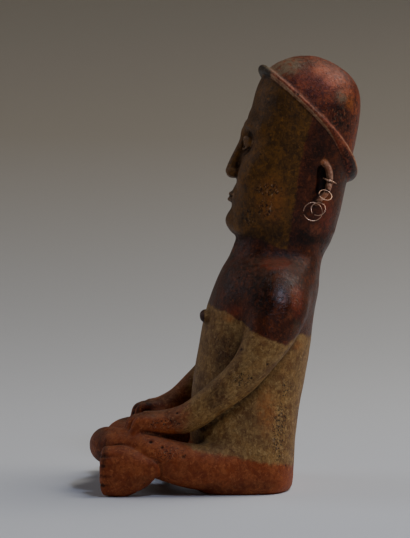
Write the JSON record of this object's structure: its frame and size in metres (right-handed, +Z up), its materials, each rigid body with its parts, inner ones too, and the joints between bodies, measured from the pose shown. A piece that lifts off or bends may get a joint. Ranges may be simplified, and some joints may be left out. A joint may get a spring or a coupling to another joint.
{
  "type": "seated female figure",
  "caption": "Fired clay figure of a woman sitting cross-legged, hands on her shins, in a close cap, with wire rings in her ears.",
  "frame": {"origin": "on the floor, under the middle of the figure's box", "axes": "+Z up, the figure faces -Y, and its left side is +X"},
  "size_m": [0.1894, 0.2505, 0.4],
  "materials": {
    "burnished_clay": "burnished slip over fired clay, semi-gloss, worn",
    "ear_ring_wire": "thin tarnished copper alloy wire"
  },
  "bodies": {
    "root": {"seated_figure": "burnished_clay", "left_ear_ring_upper": "ear_ring_wire", "left_ear_ring_middle": "ear_ring_wire", "left_ear_ring_lower_small": "ear_ring_wire", "left_ear_ring_lower_large": "ear_ring_wire", "right_ear_ring_upper": "ear_ring_wire", "right_ear_ring_lower": "ear_ring_wire"}
  },
  "joints": []
}
